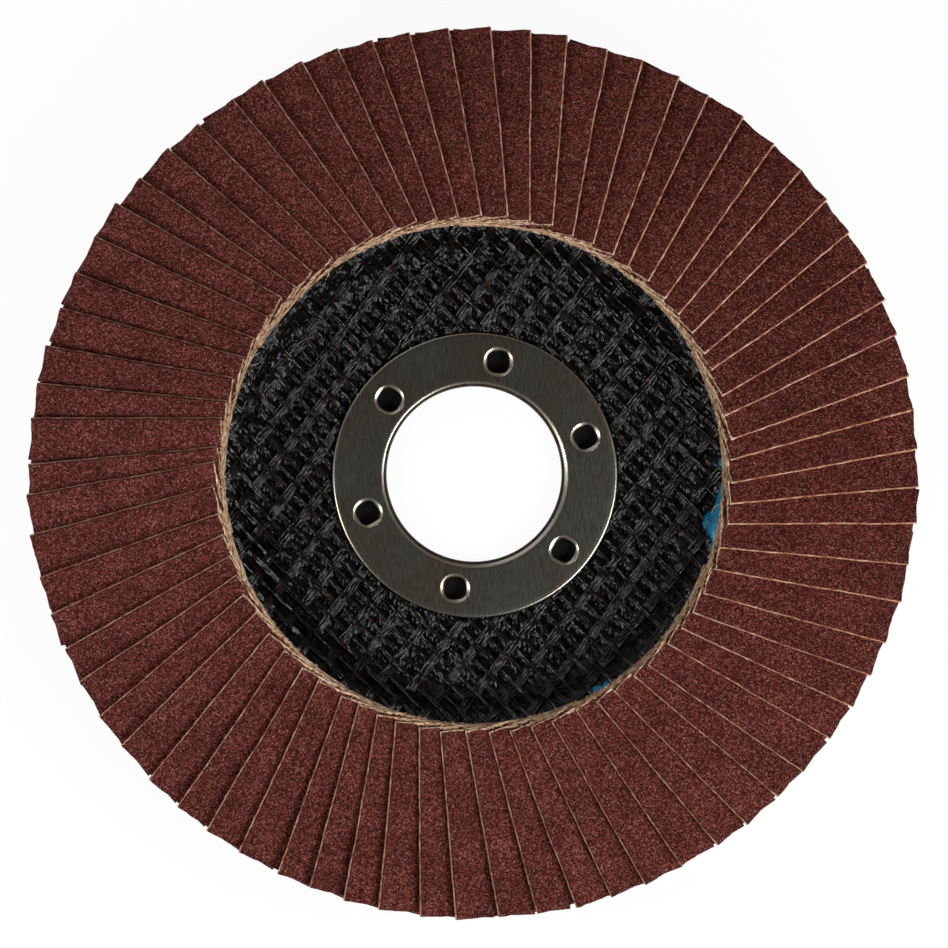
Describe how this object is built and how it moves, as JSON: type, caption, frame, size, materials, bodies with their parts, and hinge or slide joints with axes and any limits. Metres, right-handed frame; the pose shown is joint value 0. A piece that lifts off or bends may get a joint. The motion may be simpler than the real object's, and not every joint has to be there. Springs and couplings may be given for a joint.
{
  "type": "flap disc",
  "caption": "Grinder flap disc: a ring of overlapping abrasive cloth flaps bonded to a dished black glass-fibre plate with a pressed steel bore ring.",
  "frame": {"origin": "centre of the bore, in the plane of the hub's back, which is the face that the disc lies on", "axes": "+Z along the bore toward the flaps and the work, +X and +Y across the disc; the first flap points along +X"},
  "size_m": [0.1124, 0.1124, 0.0123],
  "materials": {
    "laminate": "black resin over woven glass, glossy in the strands",
    "ring_steel": "brushed sheet steel",
    "adhesive": "cured blue adhesive",
    "abrasive_cloth": "maroon bonded grain on tan cotton cloth"
  },
  "bodies": {
    "root": {"backing_plate": "laminate", "hub_ring": "ring_steel", "adhesive_bed": "adhesive", "flap_pair_01": "abrasive_cloth", "flap_pair_02": "abrasive_cloth", "flap_pair_03": "abrasive_cloth", "flap_pair_04": "abrasive_cloth", "flap_pair_05": "abrasive_cloth", "flap_pair_06": "abrasive_cloth", "flap_pair_07": "abrasive_cloth", "flap_pair_08": "abrasive_cloth", "flap_pair_09": "abrasive_cloth", "flap_pair_10": "abrasive_cloth", "flap_pair_11": "abrasive_cloth", "flap_pair_12": "abrasive_cloth", "flap_pair_13": "abrasive_cloth", "flap_pair_14": "abrasive_cloth", "flap_pair_15": "abrasive_cloth", "flap_pair_16": "abrasive_cloth", "flap_pair_17": "abrasive_cloth", "flap_pair_18": "abrasive_cloth", "flap_pair_19": "abrasive_cloth", "flap_pair_20": "abrasive_cloth", "flap_pair_21": "abrasive_cloth", "flap_pair_22": "abrasive_cloth", "flap_pair_23": "abrasive_cloth", "flap_pair_24": "abrasive_cloth", "flap_pair_25": "abrasive_cloth", "flap_pair_26": "abrasive_cloth", "flap_pair_27": "abrasive_cloth", "flap_pair_28": "abrasive_cloth", "flap_pair_29": "abrasive_cloth", "flap_pair_30": "abrasive_cloth", "flap_pair_31": "abrasive_cloth", "flap_pair_32": "abrasive_cloth", "flap_pair_33": "abrasive_cloth", "flap_pair_34": "abrasive_cloth", "flap_pair_35": "abrasive_cloth", "flap_pair_36": "abrasive_cloth"}
  },
  "joints": []
}
